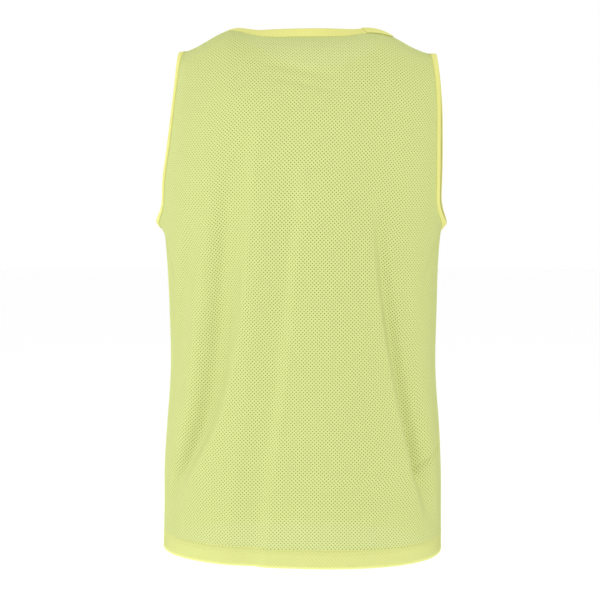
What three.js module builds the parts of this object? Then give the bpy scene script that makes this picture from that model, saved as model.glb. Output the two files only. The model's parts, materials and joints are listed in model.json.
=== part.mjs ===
// A sleeveless mesh training bib, filled out as on a general figure and hollow.
// Its back faces -Y and its front +Y. Up is +Z, and the origin lies between the shoulders.
// A spot on a panel is given by s, the arc from the panel's middle line towards the right as
// the panel is seen from outside, and t, the height along the cloth from the hem.
import * as THREE from 'three';

// Driving sizes in millimetres, with heights measured up from the hem
const SEAM_HEIGHT = 700;
const CHEST_HEIGHT = 450;
const UNDERARM_HEIGHT = 442;
const REST_HEIGHT = 685;
const CLOTH = 1.6;
const HEM_WIDTH = 25;
const HEM_CLOTH = 2.4;
const BINDING_CLOTH = 2.4;
const ARMHOLE_BINDING = 6.5;
const NECK_BINDING = 8;
const SEAM_GAP = 0.3;
const NECK_HALF_WIDTH = 99.5;
const NECK_MIDDLE = 6;
const SQUARENESS = 2.35;

// The shoulder line falls in a soft S from the neck to the end of the shoulder
const SHOULDERS = [
  { sign: -1, start: 84, end: 170, fall: 31 },
  { sign: 1, start: 80, end: 178, fall: 36 },
];

// The level sections: middle and half width across, and the share of the panel's depth
const LEVELS = table(['height', 'middle', 'half', 'deep'], [
  [0, -2.5, 190, 1.03],
  [60, -2, 189, 1.02],
  [105, -2, 188.5, 1.01],
  [160, -1.5, 185.5, 1],
  [245, -1.5, 179.5, 0.98],
  [330, -1.5, 180.5, 0.99],
  [390, -2, 182.5, 1],
  [430, -2, 185.5, 1],
  [475, -1, 190.5, 1],
  [505, 0, 192, 1],
  [560, 3.5, 189, 1],
  [616, 5.8, 185, 1],
  [664, 5.8, 180.5, 1],
  [700, 4, 176, 1],
]);

// Under each arm the cloth and its binding flare out beside the side seam
const FLARES = [
  { sign: -1, height: 444, out: 12.5, below: 13, above: 22, reach: 38 },
  { sign: 1, height: 446, out: 7.5, below: 9, above: 22, reach: 38 },
];

// How far out the armhole edge lies, as a share of the section's half width
const ARMHOLE = table(['height', 'share'], [
  [442, 1],
  [444.5, 0.996],
  [452, 0.987],
  [463.5, 0.975],
  [479, 0.962],
  [505, 0.954],
  [570, 0.953],
  [616, 0.958],
  [664, 0.967],
  [700, 0.98],
]);

// A fold is a valley that runs down a panel: where its bottom lies, how deep it is, and how
// wide each of its two slopes is
const FOLD_COLUMNS = ['height', 'across', 'depth', 'left', 'right'];
const BACK_FOLDS = [
  // From the left shoulder blade down and out to the left side
  table(FOLD_COLUMNS, [
    [50, -196, 0, 26, 26],
    [95, -170, 8, 30, 24],
    [133, -146, 15, 36, 22],
    [167, -126, 19, 44, 21],
    [213, -108, 22, 48, 20],
    [276, -95, 22, 52, 21],
    [333, -85, 20, 50, 22],
    [400, -78, 16, 46, 22],
    [460, -73, 10, 42, 22],
    [520, -70, 4, 38, 22],
    [600, -66, 0, 30, 22],
  ]),
  // Shallow, left of the middle, from the chest to the hem
  table(FOLD_COLUMNS, [
    [0, -52, 4, 40, 20],
    [80, -44, 5, 40, 20],
    [160, -34, 5.5, 42, 18],
    [240, -24, 5, 42, 18],
    [333, -14, 4.5, 42, 18],
    [400, -7, 4, 40, 18],
    [470, 0, 2, 38, 16],
    [560, 2, 0, 36, 16],
  ]),
  // From the right shoulder blade down and out to the right side
  table(FOLD_COLUMNS, [
    [40, 206, 0, 24, 24],
    [85, 194, 10, 24, 30],
    [120, 181, 15, 22, 36],
    [170, 164, 14, 18, 42],
    [225, 149, 12, 16, 46],
    [276, 137, 10, 15, 48],
    [333, 126, 8, 14, 46],
    [390, 118, 6, 13, 44],
    [440, 114, 3.5, 12, 40],
    [520, 108, 0, 12, 30],
  ]),
];
const FRONT_FOLDS = [
  // From the chest down and out to either side, unlike in length and depth
  table(FOLD_COLUMNS, [
    [60, -192, 0, 24, 24],
    [130, -158, 12, 40, 24],
    [210, -124, 18, 48, 22],
    [300, -104, 16, 48, 22],
    [400, -92, 9, 42, 22],
    [500, -86, 0, 36, 22],
  ]),
  table(FOLD_COLUMNS, [
    [20, 60, 4, 22, 40],
    [120, 48, 6, 20, 42],
    [240, 30, 6, 20, 42],
    [360, 18, 4, 20, 40],
    [460, 10, 0, 18, 36],
  ]),
  table(FOLD_COLUMNS, [
    [50, 198, 0, 24, 26],
    [110, 178, 12, 22, 36],
    [190, 150, 15, 20, 46],
    [280, 130, 11, 20, 46],
    [370, 118, 5, 18, 40],
    [450, 112, 0, 16, 36],
  ]),
];

// How finely the solids are divided
const BACK_GRID = { rows: 23, columns: 40, neckColumns: 26 };
const FRONT_GRID = { rows: 18, columns: 30, neckColumns: 20 };
const ARMHOLE_STEPS = 15;
const HEM_ROWS = 2;
const FOLD_CROWDING = 1.6;
const FOLD_REACH = 26;
const PROFILE_STEPS = 300;
const SECTION_STEPS = 240;
const NEAR = 0.5;

// How sharply the panels' columns close in beside an armhole, and its rows dip under the neck
const SQUEEZE_POWER = 3;
const DIP_POWER = 1.5;

const BACK = sidePanel(-1, { depth: 124, roundness: 2.6, neckDip: 50, folds: BACK_FOLDS });
const FRONT = sidePanel(1, { depth: 128, roundness: 2, neckDip: 96, folds: FRONT_FOLDS });

const lime = new THREE.MeshStandardMaterial({ color: 0xd6dd8f, roughness: 0.85, metalness: 0 });
const limeDouble = new THREE.MeshStandardMaterial({ color: 0xe3e584, roughness: 0.8, metalness: 0 });

function table(columns, rows) {
  return Object.fromEntries(columns.map((name, i) => [name, rows.map((row) => row[i])]));
}

// The value of a table's column at a height, on a smooth curve through its rows
function read(source, column, height) {
  const at = source.height;
  const value = source[column];
  const last = at.length - 1;
  const h = THREE.MathUtils.clamp(height, at[0], at[last]);
  let i = 0;
  while (i < last - 1 && h > at[i + 1]) i += 1;
  const slope = (k) => {
    const a = Math.max(k - 1, 0);
    const b = Math.min(k + 1, last);
    return (value[b] - value[a]) / (at[b] - at[a]);
  };
  const gap = at[i + 1] - at[i];
  const u = (h - at[i]) / gap;
  const ease = u * u * (3 - 2 * u);
  const leave = u * (1 - u) * (1 - u) * gap * slope(i);
  const arrive = u * u * (u - 1) * gap * slope(i + 1);
  return value[i] + (value[i + 1] - value[i]) * ease + leave + arrive;
}

// Where a rising list of numbers passes a value: the index, with its fraction
function findIn(list, value) {
  let low = 0;
  let high = list.length - 1;
  if (value <= list[0]) return 0;
  if (value >= list[high]) return high;
  while (high - low > 1) {
    const middle = (low + high) >> 1;
    if (list[middle] <= value) low = middle;
    else high = middle;
  }
  return low + (value - list[low]) / (list[high] - list[low]);
}

// A value of a list at an index with a fraction
function readAt(list, index) {
  const i = Math.min(Math.floor(index), list.length - 2);
  return THREE.MathUtils.lerp(list[i], list[i + 1], index - i);
}

// A panel with the arc along its side profile, which is upright up to the chest and then
// rounds over to the shoulder seam as a quarter of a superellipse
function sidePanel(side, sizes) {
  const turns = [];
  const arcs = [];
  let [arc, z, y] = [CHEST_HEIGHT, 0, sizes.depth];
  for (let i = 0; i <= PROFILE_STEPS; i += 1) {
    const turn = (i / PROFILE_STEPS) * (Math.PI / 2);
    const [up, out] = quarter(turn, sizes.roundness);
    const [nextZ, nextY] = [(SEAM_HEIGHT - CHEST_HEIGHT) * up, sizes.depth * out];
    arc += Math.hypot(nextZ - z, nextY - y);
    [z, y] = [nextZ, nextY];
    turns.push(turn);
    arcs.push(arc);
  }
  return { side, ...sizes, turns, arcs, length: arc, sections: new Map() };
}

// The two shares of a quarter of a superellipse at a turn: up its axis, and out from it
function quarter(turn, roundness) {
  const power = 2 / roundness;
  return [Math.max(Math.sin(turn), 0) ** power, Math.max(Math.cos(turn), 0) ** power];
}

function shoulderFall(x) {
  return SHOULDERS.reduce((sum, { sign, start, end, fall }) => (
    sum + fall * THREE.MathUtils.smoothstep(sign * x, start, end)), 0);
}

// How deep the folds are at an arc of the bare section
function foldDepth(panel, arc, height) {
  return panel.folds.reduce((sum, fold) => {
    const [low, high] = [fold.height[0], fold.height[fold.height.length - 1]];
    if (height < low || height > high) return sum;
    const offset = arc - read(fold, 'across', height);
    const width = read(fold, offset < 0 ? 'left' : 'right', height);
    const share = Math.min(Math.abs(offset) / width, 1);
    return sum + read(fold, 'depth', height) * 0.5 * (1 + Math.cos(Math.PI * share));
  }, 0);
}

// How far the cloth flares out at a distance from the side seam
function flareOut(sign, distance, height) {
  return FLARES.filter((flare) => flare.sign === sign).reduce((sum, flare) => {
    const up = (height - flare.height) / (height < flare.height ? flare.below : flare.above);
    const along = distance / flare.reach;
    return sum + flare.out * Math.exp(-up * up - along * along);
  }, 0);
}

// One level of a panel from edge to edge: its points, and the arc along them from the middle
function section(panel, t) {
  const key = Math.round(t * 1000);
  if (panel.sections.has(key)) return panel.sections.get(key);
  const turn = readAt(panel.turns, findIn(panel.arcs, t));
  const [rise, out] = t > CHEST_HEIGHT ? quarter(turn, panel.roundness) : [0, 1];
  const lean = t > CHEST_HEIGHT ? turn : 0;
  const height = t > CHEST_HEIGHT ? CHEST_HEIGHT + (SEAM_HEIGHT - CHEST_HEIGHT) * rise : t;
  const middle = read(LEVELS, 'middle', height);
  const half = read(LEVELS, 'half', height);
  const depth = panel.depth * out * read(LEVELS, 'deep', height);
  const bare = [];
  for (let i = 0; i <= SECTION_STEPS; i += 1) {
    const angle = (i / SECTION_STEPS - 0.5) * Math.PI;
    const [across, deep] = quarter(Math.abs(angle), SQUARENESS);
    bare.push([-panel.side * Math.sign(angle) * half * across, panel.side * depth * deep]);
  }
  const bareArcs = arcsOf(bare, SECTION_STEPS / 2);
  const points = bare.map(([x, y], i) => {
    const [ax, ay] = bare[Math.max(i - 1, 0)];
    const [bx, by] = bare[Math.min(i + 1, SECTION_STEPS)];
    const distance = bareArcs[SECTION_STEPS] - Math.abs(bareArcs[i]);
    const outward = flareOut(Math.sign(x), distance, height) - foldDepth(panel, bareArcs[i], height);
    const level = (outward * Math.cos(lean)) / Math.hypot(bx - ax, by - ay);
    const fallen = height - shoulderFall(middle + x) * rise;
    return [middle + x + (by - ay) * level, y - (bx - ax) * level, fallen + outward * Math.sin(lean)];
  });
  const line = { points, arcs: arcsOf(points, SECTION_STEPS / 2), bareArcs, height };
  panel.sections.set(key, line);
  return line;
}

// The arc along a row of points, seen from above, counted from the middle one
function arcsOf(points, middle) {
  const arcs = [0];
  for (let i = 1; i < points.length; i += 1) {
    const step = Math.hypot(points[i][0] - points[i - 1][0], points[i][1] - points[i - 1][1]);
    arcs.push(arcs[i - 1] + step);
  }
  return arcs.map((arc) => arc - arcs[middle]);
}

function pointAt(panel, s, t) {
  const line = section(panel, THREE.MathUtils.clamp(t, 0, panel.length));
  const index = findIn(line.arcs, s);
  const i = Math.min(Math.floor(index), line.points.length - 2);
  const [a, b] = [new THREE.Vector3(...line.points[i]), new THREE.Vector3(...line.points[i + 1])];
  return a.lerp(b, index - i);
}

// A spot of the cloth's middle surface, and the way out of the garment there
function spot(panel, [s, t]) {
  const across = pointAt(panel, s + NEAR, t).sub(pointAt(panel, s - NEAR, t));
  const up = pointAt(panel, s, t + NEAR).sub(pointAt(panel, s, t - NEAR));
  return { point: pointAt(panel, s, t), out: across.cross(up).normalize() };
}

// The arc at which a level meets the armhole, or the side seam below it
function edgeArc(panel, sign, t) {
  const line = section(panel, t);
  const last = line.arcs.length - 1;
  if (line.height <= UNDERARM_HEIGHT) return line.arcs[sign > 0 ? last : 0];
  const angle = Math.asin(read(ARMHOLE, 'share', line.height) ** (SQUARENESS / 2));
  return readAt(line.arcs, (0.5 + (sign * angle) / Math.PI) * SECTION_STEPS);
}

// The armhole edge of a panel on the flat cloth, from the underarm up to the shoulder seam,
// set back into the cloth by a distance
function armholeEdge(panel, sign, back) {
  const edge = [];
  for (let k = 0; k <= ARMHOLE_STEPS; k += 1) {
    const share = (1 - Math.cos((Math.PI * k) / ARMHOLE_STEPS)) / 2;
    const t = THREE.MathUtils.lerp(UNDERARM_HEIGHT, panel.length, share);
    edge.push([edgeArc(panel, sign, t), t]);
  }
  return edge.map(([s, t], k) => {
    if (k === 0) return [edgeArc(panel, sign, t - back), t - back];
    if (k === ARMHOLE_STEPS) return [s - sign * back, t];
    const [ds, dt] = [edge[k + 1][0] - edge[k - 1][0], edge[k + 1][1] - edge[k - 1][1]];
    const size = Math.hypot(ds, dt);
    return [s - (sign * dt * back) / size, t + (sign * ds * back) / size];
  });
}

// The neck edge of a panel on the flat cloth, half an ellipse, set back into the cloth
function neckEdge(panel, steps, back) {
  const centre = -panel.side * NECK_MIDDLE;
  const edge = [];
  for (let k = 0; k <= steps; k += 1) {
    const angle = (k / steps - 0.5) * Math.PI;
    const [sine, cosine] = [Math.sin(angle), Math.max(Math.cos(angle), 0)];
    const size = Math.hypot(sine / NECK_HALF_WIDTH, cosine / panel.neckDip);
    edge.push([
      centre + NECK_HALF_WIDTH * sine + (back * sine) / NECK_HALF_WIDTH / size,
      panel.length - panel.neckDip * cosine - (back * cosine) / panel.neckDip / size,
    ]);
  }
  return edge;
}

// Shares across a level that crowd together where a fold bends the cloth
function crowdedShares(panel, t, count) {
  const line = section(panel, t);
  const weights = [0];
  for (let i = 1; i <= SECTION_STEPS; i += 1) {
    const arc = line.bareArcs[i];
    const near = panel.folds.reduce((sum, fold) => {
      const offset = (arc - read(fold, 'across', line.height)) / FOLD_REACH;
      return sum + FOLD_CROWDING * Math.exp(-offset * offset);
    }, 0);
    weights.push(weights[i - 1] + (line.arcs[i] - line.arcs[i - 1]) * (1 + near));
  }
  const shares = [];
  for (let i = 0; i <= count; i += 1) {
    const index = findIn(weights, (weights[SECTION_STEPS] * i) / count);
    const [first, whole] = [line.arcs[0], line.arcs[SECTION_STEPS] - line.arcs[0]];
    shares.push((readAt(line.arcs, index) - first) / whole);
  }
  return shares;
}

// The top edge of a panel: a shoulder, the neck and the other shoulder
function topEdge(panel, grid, left, right) {
  const seam = panel.length - SEAM_GAP / 2;
  const neck = neckEdge(panel, grid.neckColumns, NECK_BINDING + SEAM_GAP);
  const shoulderColumns = (grid.columns - grid.neckColumns) / 2;
  const line = neck.map(([s, t]) => [s, Math.min(t, seam)]);
  for (let i = 1; i <= shoulderColumns; i += 1) {
    const share = i / shoulderColumns;
    line.unshift([THREE.MathUtils.lerp(neck[0][0], left, share), seam]);
    line.push([THREE.MathUtils.lerp(neck[grid.neckColumns][0], right, share), seam]);
  }
  return line;
}

// The two ends of each row of a panel: up the side seams, then up the armholes
function rowEnds(panel, grid) {
  const back = ARMHOLE_BINDING + SEAM_GAP;
  const [left, right] = [armholeEdge(panel, -1, back), armholeEdge(panel, 1, back)];
  const bottom = HEM_WIDTH + SEAM_GAP;
  const ends = [];
  for (let j = 0; j < grid.rows; j += 1) {
    const t = THREE.MathUtils.lerp(bottom, left[0][1], j / grid.rows);
    ends.push([[seamArc(panel, -1, t), t], [seamArc(panel, 1, t), t]]);
  }
  left.forEach((end, k) => {
    const atSeam = k === 0 ? SEAM_GAP / 2 : 0;
    ends.push([[end[0] + atSeam, end[1]], [right[k][0] - atSeam, right[k][1]]]);
  });
  return ends;
}

function seamArc(panel, sign, t) {
  return edgeArc(panel, sign, t) - (sign * SEAM_GAP) / 2;
}

// An arc of the full section moved in where the armhole cuts the section short, the middle
// of the panel hardly and its edge the whole way
function squeezed(arc, line, left, right) {
  const [full, reach] = arc < 0 ? [line.arcs[0], left] : [line.arcs[SECTION_STEPS], right];
  return arc - (full - reach) * (arc / full) ** SQUEEZE_POWER;
}

function panelSpots(panel, grid) {
  const ends = rowEnds(panel, grid);
  const [topLeft, topRight] = ends[ends.length - 1];
  const top = topEdge(panel, grid, topLeft[0], topRight[0]);
  const seam = panel.length - SEAM_GAP / 2;
  return ends.map(([left, right]) => {
    const line = section(panel, left[1]);
    const shares = crowdedShares(panel, left[1], grid.columns);
    const blend = THREE.MathUtils.smoothstep(left[1], UNDERARM_HEIGHT, seam);
    const pull = THREE.MathUtils.clamp((left[1] - CHEST_HEIGHT) / (seam - CHEST_HEIGHT), 0, 1);
    return shares.map((share, i) => {
      const arc = THREE.MathUtils.lerp(line.arcs[0], line.arcs[SECTION_STEPS], share);
      const s = THREE.MathUtils.lerp(squeezed(arc, line, left[0], right[0]), top[i][0], blend);
      const across = (s - left[0]) / (right[0] - left[0]);
      const level = Math.min(THREE.MathUtils.lerp(left[1], right[1], across), seam);
      return spot(panel, [s, level - (seam - top[i][1]) * pull ** DIP_POWER]);
    });
  });
}

function hemSpots(panel, grid) {
  const rows = [];
  for (let j = 0; j <= HEM_ROWS; j += 1) {
    const t = (HEM_WIDTH * j) / HEM_ROWS;
    const [left, right] = [seamArc(panel, -1, t), seamArc(panel, 1, t)];
    const shares = crowdedShares(panel, t, grid.columns);
    rows.push(shares.map((share) => spot(panel, [THREE.MathUtils.lerp(left, right, share), t])));
  }
  return rows;
}

// A ring of binding round an armhole: its line inside the cloth, then its free edge
function armholeSpots(sign) {
  return [ARMHOLE_BINDING, 0].map((back) => {
    const up = armholeEdge(BACK, sign, back).map((at) => spot(BACK, at));
    const down = armholeEdge(FRONT, -sign, back).map((at) => spot(FRONT, at)).reverse();
    const ring = [...up, ...down.slice(1, -1)];
    return sign > 0 ? ring.reverse() : ring;
  });
}

function neckSpots() {
  return [NECK_BINDING, 0].map((back) => {
    const behind = neckEdge(BACK, BACK_GRID.neckColumns, back).map((at) => spot(BACK, at));
    const before = neckEdge(FRONT, FRONT_GRID.neckColumns, back).map((at) => spot(FRONT, at));
    return [...behind, ...before.slice(1, -1)];
  });
}

// A closed wall on rows of spots, half its thickness to either side of them
function wall(rows, thickness, ringed = false) {
  const width = rows[0].length;
  const height = rows.length;
  const positions = [];
  for (const offset of [thickness / 2, -thickness / 2]) {
    for (const { point, out } of rows.flat()) {
      positions.push(...point.clone().addScaledVector(out, offset).toArray());
    }
  }
  const index = [];
  const inner = width * height;
  const quad = (a, b, c, d) => index.push(a, b, c, a, c, d);
  const around = ringed ? width : width - 1;
  for (let j = 0; j < height - 1; j += 1) {
    for (let i = 0; i < around; i += 1) {
      const [a, b] = [j * width + i, j * width + ((i + 1) % width)];
      quad(a, b, b + width, a + width);
      quad(inner + a, inner + a + width, inner + b + width, inner + b);
    }
  }
  for (let i = 0; i < around; i += 1) {
    const [a, b] = [i, (i + 1) % width];
    const top = (height - 1) * width;
    quad(a, inner + a, inner + b, b);
    quad(inner + top + b, inner + top + a, top + a, top + b);
  }
  for (let j = 0; !ringed && j < height - 1; j += 1) {
    const [a, b] = [j * width, (j + 1) * width - 1];
    quad(inner + a + width, inner + a, a, a + width);
    quad(inner + b, inner + b + width, b + width, b);
  }
  const geometry = new THREE.BufferGeometry();
  geometry.setAttribute('position', new THREE.Float32BufferAttribute(positions, 3));
  geometry.setIndex(index);
  geometry.translate(0, 0, -REST_HEIGHT);
  geometry.computeVertexNormals();
  return geometry;
}

function piece(name, geometry, material) {
  const mesh = new THREE.Mesh(geometry, material);
  mesh.name = name;
  return mesh;
}

const bib = new THREE.Group();
bib.add(
  piece('back_panel', wall(panelSpots(BACK, BACK_GRID), CLOTH), lime),
  piece('front_panel', wall(panelSpots(FRONT, FRONT_GRID), CLOTH), lime),
  piece('back_hem', wall(hemSpots(BACK, BACK_GRID), HEM_CLOTH), limeDouble),
  piece('front_hem', wall(hemSpots(FRONT, FRONT_GRID), HEM_CLOTH), limeDouble),
  piece('neck_binding', wall(neckSpots(), BINDING_CLOTH, true), limeDouble),
  piece('left_armhole_binding', wall(armholeSpots(-1), BINDING_CLOTH, true), limeDouble),
  piece('right_armhole_binding', wall(armholeSpots(1), BINDING_CLOTH, true), limeDouble),
);

export default bib;
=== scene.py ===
# %% [markdown]
# # A mesh training bib, filled out and hollow
#
# The real thing is a sleeveless bib in fluorescent yellow-green warp knit: a cloth with thousands of
# small holes. It is cut in two panels, sewn at the sides and shoulders, bound with a plain tape round
# the neck and the armholes, and turned up at the hem. Here it hangs filled out, with no wearer, and
# its back is towards the camera. The CAD model is the frame: each piece below takes the place of one
# of its solids.

import json
import math

import bpy
import numpy as np
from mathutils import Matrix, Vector

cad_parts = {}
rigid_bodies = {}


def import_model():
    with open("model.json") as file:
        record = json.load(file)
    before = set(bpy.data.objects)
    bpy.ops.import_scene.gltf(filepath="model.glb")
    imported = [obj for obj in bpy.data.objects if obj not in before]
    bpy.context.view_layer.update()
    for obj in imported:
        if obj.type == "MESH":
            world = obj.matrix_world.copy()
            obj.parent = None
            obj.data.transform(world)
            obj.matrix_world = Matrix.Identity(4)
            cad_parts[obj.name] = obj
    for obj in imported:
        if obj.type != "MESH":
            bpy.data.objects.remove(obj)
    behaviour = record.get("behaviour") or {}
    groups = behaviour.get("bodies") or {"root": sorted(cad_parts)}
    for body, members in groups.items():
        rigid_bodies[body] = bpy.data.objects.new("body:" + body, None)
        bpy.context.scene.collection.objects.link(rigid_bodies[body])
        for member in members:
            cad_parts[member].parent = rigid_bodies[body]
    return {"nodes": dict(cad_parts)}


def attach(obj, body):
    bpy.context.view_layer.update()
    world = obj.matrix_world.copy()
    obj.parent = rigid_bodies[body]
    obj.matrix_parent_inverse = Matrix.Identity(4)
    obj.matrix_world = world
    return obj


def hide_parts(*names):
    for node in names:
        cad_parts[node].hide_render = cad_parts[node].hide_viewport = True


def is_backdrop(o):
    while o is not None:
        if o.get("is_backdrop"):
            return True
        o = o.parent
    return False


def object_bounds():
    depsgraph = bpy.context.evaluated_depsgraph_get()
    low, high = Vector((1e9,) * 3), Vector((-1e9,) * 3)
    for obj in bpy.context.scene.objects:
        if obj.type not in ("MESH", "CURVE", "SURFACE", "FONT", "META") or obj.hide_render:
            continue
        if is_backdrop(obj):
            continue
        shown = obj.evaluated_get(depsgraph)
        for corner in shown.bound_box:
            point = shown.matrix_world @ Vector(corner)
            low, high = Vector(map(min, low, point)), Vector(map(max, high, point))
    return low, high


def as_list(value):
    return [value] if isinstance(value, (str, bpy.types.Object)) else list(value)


for spare in list(bpy.data.objects):
    bpy.data.objects.remove(spare)
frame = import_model()
cad_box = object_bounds()
print("CAD nodes:", sorted(frame["nodes"]))

# %% [markdown]
# ## The form of the garment
#
# Cloth follows a form that has no straight lines, so it is easiest to say the form once, as numbers,
# and to lay every piece on it. The same driving sizes are in the CAD model, in millimetres: a level
# section is a superellipse, its middle and half width come from a short table, and the side profile
# is upright to the chest and then rounds over to the shoulder seam. Folds are valleys, each a table
# of where its bottom lies, how deep it is and how wide its slopes are.

# %% Sizes of the form
MM = 0.001
SEAM_HEIGHT = 700
CHEST_HEIGHT = 450
UNDERARM_HEIGHT = 442
REST_HEIGHT = 685
HEM_WIDTH = 25
ARMHOLE_TAPE = 9
NECK_TAPE = 8
NECK_HALF_WIDTH = 99.5
NECK_MIDDLE = 6
SQUARENESS = 2.35


def table(columns, rows):
    """A table with named columns"""
    return {name: np.array([row[i] for row in rows], float) for i, name in enumerate(columns)}


# The shoulder line falls in a soft S: which side, where it starts and ends, and how far it falls
SHOULDERS = [(-1, 84, 170, 31), (1, 80, 178, 36)]

LEVELS = table(("height", "middle", "half", "deep"), [
    (0, -2.5, 190, 1.03),
    (60, -2, 189, 1.02),
    (105, -2, 188.5, 1.01),
    (160, -1.5, 185.5, 1),
    (245, -1.5, 179.5, 0.98),
    (330, -1.5, 180.5, 0.99),
    (390, -2, 182.5, 1),
    (430, -2, 185.5, 1),
    (475, -1, 190.5, 1),
    (505, 0, 192, 1),
    (560, 3.5, 189, 1),
    (616, 5.8, 185, 1),
    (664, 5.8, 180.5, 1),
    (700, 4, 176, 1),
])

# Under each arm the cloth flares out: side, height, how far out, reach below, above and along
FLARES = [(-1, 444, 12.5, 13, 22, 38), (1, 446, 7.5, 9, 22, 38)]

ARMHOLE = table(("height", "share"), [
    (442, 1),
    (444.5, 0.996),
    (452, 0.987),
    (463.5, 0.975),
    (479, 0.962),
    (505, 0.954),
    (570, 0.953),
    (616, 0.958),
    (664, 0.967),
    (700, 0.98),
])

# %% Folds of the two panels


def folds_of(rows_of_each):
    """A table for each fold: where its bottom lies, how deep it is and how wide its slopes are"""
    return [table(("height", "across", "depth", "left", "right"), rows) for rows in rows_of_each]


BACK_FOLDS = folds_of([
    # From the left shoulder blade down and out to the left side
    [
        (50, -196, 0, 26, 26), (95, -170, 8, 30, 24), (133, -146, 15, 36, 22),
        (167, -126, 19, 44, 21), (213, -108, 22, 48, 20), (276, -95, 22, 52, 21),
        (333, -85, 20, 50, 22), (400, -78, 16, 46, 22), (460, -73, 10, 42, 22),
        (520, -70, 4, 38, 22), (600, -66, 0, 30, 22),
    ],
    # Shallow, left of the middle, from the chest to the hem
    [
        (0, -52, 4, 40, 20), (80, -44, 5, 40, 20), (160, -34, 5.5, 42, 18),
        (240, -24, 5, 42, 18), (333, -14, 4.5, 42, 18), (400, -7, 4, 40, 18),
        (470, 0, 2, 38, 16), (560, 2, 0, 36, 16),
    ],
    # From the right shoulder blade down and out to the right side
    [
        (40, 206, 0, 24, 24), (85, 194, 10, 24, 30), (120, 181, 15, 22, 36),
        (170, 164, 14, 18, 42), (225, 149, 12, 16, 46), (276, 137, 10, 15, 48),
        (333, 126, 8, 14, 46), (390, 118, 6, 13, 44), (440, 114, 3.5, 12, 40),
        (520, 108, 0, 12, 30),
    ],
])
FRONT_FOLDS = folds_of([
    # From the chest down and out to either side, unlike in length and depth
    [
        (60, -192, 0, 24, 24), (130, -158, 12, 40, 24), (210, -124, 18, 48, 22),
        (300, -104, 16, 48, 22), (400, -92, 9, 42, 22), (500, -86, 0, 36, 22),
    ],
    [
        (20, 60, 4, 22, 40), (120, 48, 6, 20, 42), (240, 30, 6, 20, 42),
        (360, 18, 4, 20, 40), (460, 10, 0, 18, 36),
    ],
    [
        (50, 198, 0, 24, 26), (110, 178, 12, 22, 36), (190, 150, 15, 20, 46),
        (280, 130, 11, 20, 46), (370, 118, 5, 18, 40), (450, 112, 0, 16, 36),
    ],
])

# %% [markdown]
# The large folds above are in the CAD solids too. Knit this light also has small pulls and dents,
# which belong to the cloth alone: a notch and a dent near the sides, a sharp crease along the bottom
# of the right fold, and slight pulls below the neck and under the arms. A depth below zero raises the
# cloth, as on the nearly flat floor of the left fold.

# %% Small creases that only the cloth has
BACK_CREASES = folds_of([
    # The notch above the hem on the right, from the side up and in
    [
        (104, 170, 0, 10, 12), (118, 186, 3, 10, 12), (132, 208, 3.5, 11, 13),
        (146, 232, 2, 12, 14), (158, 250, 0, 12, 14),
    ],
    # A dent between the left side and the crest of the left fold
    [
        (240, -172, 0, 18, 20), (300, -167, 3, 20, 22), (360, -158, 4, 20, 24),
        (420, -146, 3.5, 20, 24), (470, -134, 0, 18, 20),
    ],
    # A sharp crease along the bottom of the right fold
    [
        (86, 192, 0, 11, 14), (128, 178, 4.2, 11, 15), (200, 156, 4.6, 11, 16),
        (276, 138, 4.2, 11, 16), (333, 127, 3.4, 11, 16), (410, 116, 2.4, 10, 14),
        (480, 110, 0, 10, 14),
    ],
    # The floor of the left fold is nearly flat, so it is raised, most on its right side
    [
        (84, -170, 0, 18, 14), (130, -140, -4, 22, 16), (190, -112, -7, 26, 18),
        (276, -92, -8, 28, 18), (333, -82, -8, 28, 18), (400, -75, -7, 26, 18),
        (460, -71, -4, 24, 16), (520, -69, 0, 20, 16),
    ],
    # Two slanting pulls below the neck
    [
        (604, 70, 0, 40, 40), (616, 40, 1.2, 44, 44), (628, -6, 1.5, 44, 44),
        (638, -38, 0, 40, 40),
    ],
    [
        (614, 84, 0, 40, 40), (628, 44, 1.2, 44, 44), (642, -4, 1.4, 44, 44),
        (654, -44, 0, 40, 40),
    ],
    # Pulls from the underarms
    [
        (360, -176, 0, 14, 12), (390, -192, 2.4, 16, 12), (420, -214, 3, 16, 12),
        (446, -240, 0, 16, 12),
    ],
    [
        (330, 170, 0, 12, 14), (372, 190, 2, 12, 16), (408, 212, 2.6, 12, 16),
        (440, 240, 0, 12, 16),
    ],
])
FRONT_CREASES = folds_of([
    [
        (340, -168, 0, 14, 12), (380, -190, 2.6, 16, 12), (414, -214, 3, 16, 12),
        (440, -238, 0, 16, 12),
    ],
    [
        (350, 174, 0, 12, 14), (385, 192, 2.4, 12, 16), (416, 216, 2.4, 12, 16),
        (440, 240, 0, 12, 16),
    ],
    [
        (90, -30, 0, 20, 14), (190, -44, 2.2, 22, 14), (320, -52, 1.8, 22, 14),
        (440, -58, 0, 20, 14),
    ],
    [
        (0, -110, 2, 22, 18), (60, -98, 2.6, 22, 18), (140, -84, 0, 20, 18),
    ],
])

# %% Read a table on a smooth curve through its rows


def read(source, column, heights):
    """The values of a column at some heights"""
    at, value = source["height"], source[column]
    h = np.clip(heights, at[0], at[-1])
    i = np.clip(np.searchsorted(at, h) - 1, 0, len(at) - 2)
    row = np.arange(len(at))
    below, above = np.maximum(row - 1, 0), np.minimum(row + 1, len(at) - 1)
    slope = (value[above] - value[below]) / (at[above] - at[below])
    gap = at[i + 1] - at[i]
    u = (h - at[i]) / gap
    ease = u * u * (3 - 2 * u)
    bend = gap * u * (1 - u) * ((1 - u) * slope[i] - u * slope[i + 1])
    return value[i] + (value[i + 1] - value[i]) * ease + bend


def smoothstep(value, start, end):
    share = np.clip((value - start) / (end - start), 0, 1)
    return share * share * (3 - 2 * share)


def quarter(turn, roundness):
    """The two shares of a quarter of a superellipse at a turn: up its axis, and out from it"""
    power = 2 / roundness
    return np.maximum(np.sin(turn), 0) ** power, np.maximum(np.cos(turn), 0) ** power


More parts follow.
